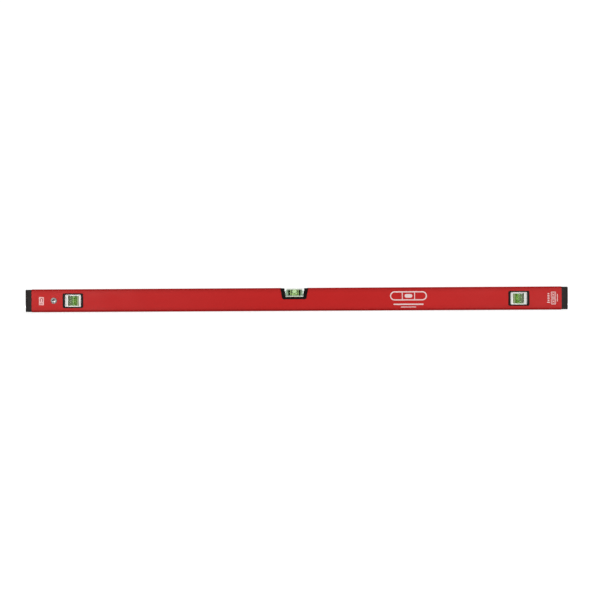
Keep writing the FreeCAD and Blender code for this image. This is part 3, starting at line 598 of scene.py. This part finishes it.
def finish_nodes():
    """Gives every shown CAD node its material, and softens the edges of those that take a bevel.

    Only bevelled nodes are welded, because welding loses the CAD's own normals on curved walls.
    """
    steel = eyelet_steel(tuple(middle("hanging_eyelet")))
    black = black_plastic()
    caps = rubber()
    half, quarter = (0.5, 0.5, 0.5), (0.25, 0.25, 0.25)
    clear = acrylic("clear_acrylic", (0.93, 0.96, 0.92), (0.9, 0.93, 0.9), half)
    tinted = acrylic("plug_acrylic", (0.56, 0.64, 0.55), (0.7, 0.8, 0.7), quarter)
    green = acrylic("green_acrylic", (0.42, 0.55, 0.32), (0.6, 0.72, 0.5), quarter)
    plumb_offset = middle("right_vial_block").x
    # Painted shade on the plumb blocks: the half towards the level's end is painted a deeper,
    # darker green, and beyond the bore each side is painted darker, the side towards the end nearly
    # black-green.
    tint_beyond(green, plumb_offset, -0.5 * MM, 2.0 * MM, (0.36, 0.52, 0.21))
    tint_beyond(green, plumb_offset, 5.8 * MM, 7.0 * MM, (0.050, 0.080, 0.028))
    tint_beyond(green, plumb_offset, -5.8 * MM, -7.0 * MM, (0.18, 0.225, 0.110))
    metal = nickel()
    bed = resin()
    ring = ring_paint()
    liner = white_plastic()
    looks = {
        "profile": (powder_coat(), None),
        "hanging_eyelet": (steel, None),
        "eyelet_washer": (steel, 0.1),
        "base_magnets": (metal, 0.25),
        "magnet_holders": (black, 0.2),
        "centre_vial_block": (clear, None),
        "centre_vial_plugs": (tinted, None),
        "centre_vial_resin_bed": (bed, 0.1),
        "centre_vial_rings": (ring, None),
        "centre_cradle_front": (black, 0.15),
        "centre_cradle_rear": (black, 0.15),
    }
    for side in ("left", "right"):
        looks[f"{side}_end_plug"] = (black, 0.2)
        looks[f"{side}_end_cap"] = (caps, 0.2)
        looks[f"{side}_bezel_front"] = (black, 0.15)
        looks[f"{side}_bezel_rear"] = (black, 0.15)
        looks[f"{side}_vial_carrier"] = (liner, 0.15)
        looks[f"{side}_vial_block"] = (green, None)
        looks[f"{side}_vial_plugs"] = (green, None)
        looks[f"{side}_vial_resin_bed"] = (bed, 0.1)
        looks[f"{side}_vial_rings"] = (ring, None)
    for name, (look, edge) in looks.items():
        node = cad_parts[name]
        dress(node, look)
        if edge:
            weld = node.modifiers.new("weld", "WELD")
            weld.merge_threshold = 0.002 * MM
            bevel = node.modifiers.new("soft_edges", "BEVEL")
            bevel.width = edge * MM
            bevel.segments = 2
            bevel.limit_method = "ANGLE"
            bevel.angle_limit = math.radians(50)
            bevel.harden_normals = True


# Stage


def area_light(name, spot, target, width, height, power):
    data = bpy.data.lights.new(name, "AREA")
    data.shape = "RECTANGLE"
    data.size, data.size_y = width, height
    data.energy = power
    lamp = bpy.data.objects.new(name, data)
    bpy.context.scene.collection.objects.link(lamp)
    lamp.location = spot
    aim = Vector(target) - Vector(spot)
    lamp.rotation_mode = "QUATERNION"
    lamp.rotation_quaternion = aim.to_track_quat("-Z", "Y")
    return lamp


def build_floor(z):
    """A floor that shows only from above. Its slot lets the level's base be seen from below."""
    bm = bmesh.new()
    half_length, half_width = FLOOR_SLOT
    reach = 6.0
    columns = (-reach, -half_length, half_length, reach)
    rows = (-reach, -half_width, half_width, reach)
    grid = [[bm.verts.new((x, y, z)) for x in columns] for y in rows]
    for j in range(3):
        for i in range(3):
            if (i, j) != (1, 1):
                bm.faces.new((grid[j][i], grid[j][i + 1], grid[j + 1][i + 1], grid[j + 1][i]))
    mesh = bpy.data.meshes.new("studio_floor")
    bm.to_mesh(mesh)
    bm.free()
    floor = bpy.data.objects.new("studio_floor", mesh)
    bpy.context.scene.collection.objects.link(floor)
    look = Look("studio_floor", (0.6, 0.6, 0.6), 0.8, specular=0.1)
    look.mottle(3.0, 0.01)
    look.set("Emission Color", (1, 1, 1, 1))
    rays = look.node("ShaderNodeLightPath")
    seen = look.math("MAXIMUM", rays.outputs["Is Camera Ray"], rays.outputs["Is Transmission Ray"])
    length = look.node("ShaderNodeVectorMath", operation="LENGTH")
    look.feed(length.inputs[0], look.where)
    glow = look.ramp(length.outputs["Value"], 0.62, 0.95, 0.6, 2.5)
    look.feed(look.shader.inputs["Emission Strength"], look.math("MULTIPLY", seen, glow))
    look.clear_where(look.node("ShaderNodeNewGeometry").outputs["Backfacing"])
    dress(floor, look)


def build_world():
    """A white surround for the camera, which lights the object more softly than it looks."""
    world = bpy.data.worlds.new("studio")
    bpy.context.scene.world = world
    world.use_nodes = True
    tree = world.node_tree
    tree.nodes.clear()
    output = tree.nodes.new("ShaderNodeOutputWorld")
    rays = tree.nodes.new("ShaderNodeLightPath")
    seen = tree.nodes.new("ShaderNodeBackground")
    seen.inputs["Color"].default_value = (1, 1, 1, 1)
    seen.inputs["Strength"].default_value = 1.05
    fill = tree.nodes.new("ShaderNodeBackground")
    fill.inputs["Color"].default_value = (1, 1, 1, 1)
    fill.inputs["Strength"].default_value = 0.25
    through = tree.nodes.new("ShaderNodeMath")
    through.operation = "MAXIMUM"
    tree.links.new(rays.outputs["Is Camera Ray"], through.inputs[0])
    tree.links.new(rays.outputs["Is Transmission Ray"], through.inputs[1])
    join = tree.nodes.new("ShaderNodeMixShader")
    tree.links.new(through.outputs[0], join.inputs["Fac"])
    tree.links.new(fill.outputs[0], join.inputs[1])
    tree.links.new(seen.outputs[0], join.inputs[2])
    tree.links.new(join.outputs[0], output.inputs["Surface"])


def build_camera(height):
    """A level camera in front of the level, aimed a little left of where it stands."""
    distance, aside = 2.1, 0.07644
    yaw, pitch, roll = (math.radians(a) for a in (-1.7504, -0.0365, -0.3149))
    data = bpy.data.cameras.new("camera")
    data.sensor_width = 36.0
    data.lens = 56.768
    data.clip_start, data.clip_end = 0.05, 60.0
    camera = bpy.data.objects.new("camera", data)
    bpy.context.scene.collection.objects.link(camera)
    forward = Vector(
        (math.sin(yaw) * math.cos(pitch), math.cos(yaw) * math.cos(pitch), math.sin(pitch))
    )
    right = Vector((math.cos(yaw), -math.sin(yaw), 0))
    up = right.cross(forward)
    across = right * math.cos(roll) + up * math.sin(roll)
    upward = up * math.cos(roll) - right * math.sin(roll)
    turned = Matrix((across, upward, -forward)).transposed()
    camera.matrix_world = Matrix.Translation((aside, -distance, height)) @ turned.to_4x4()
    bpy.context.scene.camera = camera


def build_stage(low, high):
    height = (low.z + high.z) / 2
    build_floor(low.z)
    build_world()
    build_camera(height)
    target = (0, 0, height)
    area_light("key_left", (-1.75, -2.5, 0.3), target, 1.9, 1.2, 52)
    area_light("key_right", (1.75, -2.5, 0.3), target, 1.9, 1.2, 52)
    area_light("top", (0, 0.1, 2.0), (0, 0, 0), 2.6, 1.4, 3)
    back = area_light("back", (0, 2.6, 0.9), target, 3.2, 1.2, 60)
    back.visible_transmission = False
    scene = bpy.context.scene
    scene.view_settings.view_transform = "Standard"
    scene.view_settings.look = "None"


finish_nodes()
build_liquids()
profile_low, profile_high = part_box("profile")
front_face = profile_low.y
mid_height = (profile_low.z + profile_high.z) / 2
white_ink = ink("white_ink", (0.84, 0.68, 0.66))
sign_ink = ink("sign_ink", (0.40, 0.03, 0.04))
label_film = ink("label_film", (0.93, 0.52, 0.50))
build_label(front_face, mid_height, label_film, sign_ink)
build_marks(front_face, mid_height, white_ink)
build_stage(*cad_box)
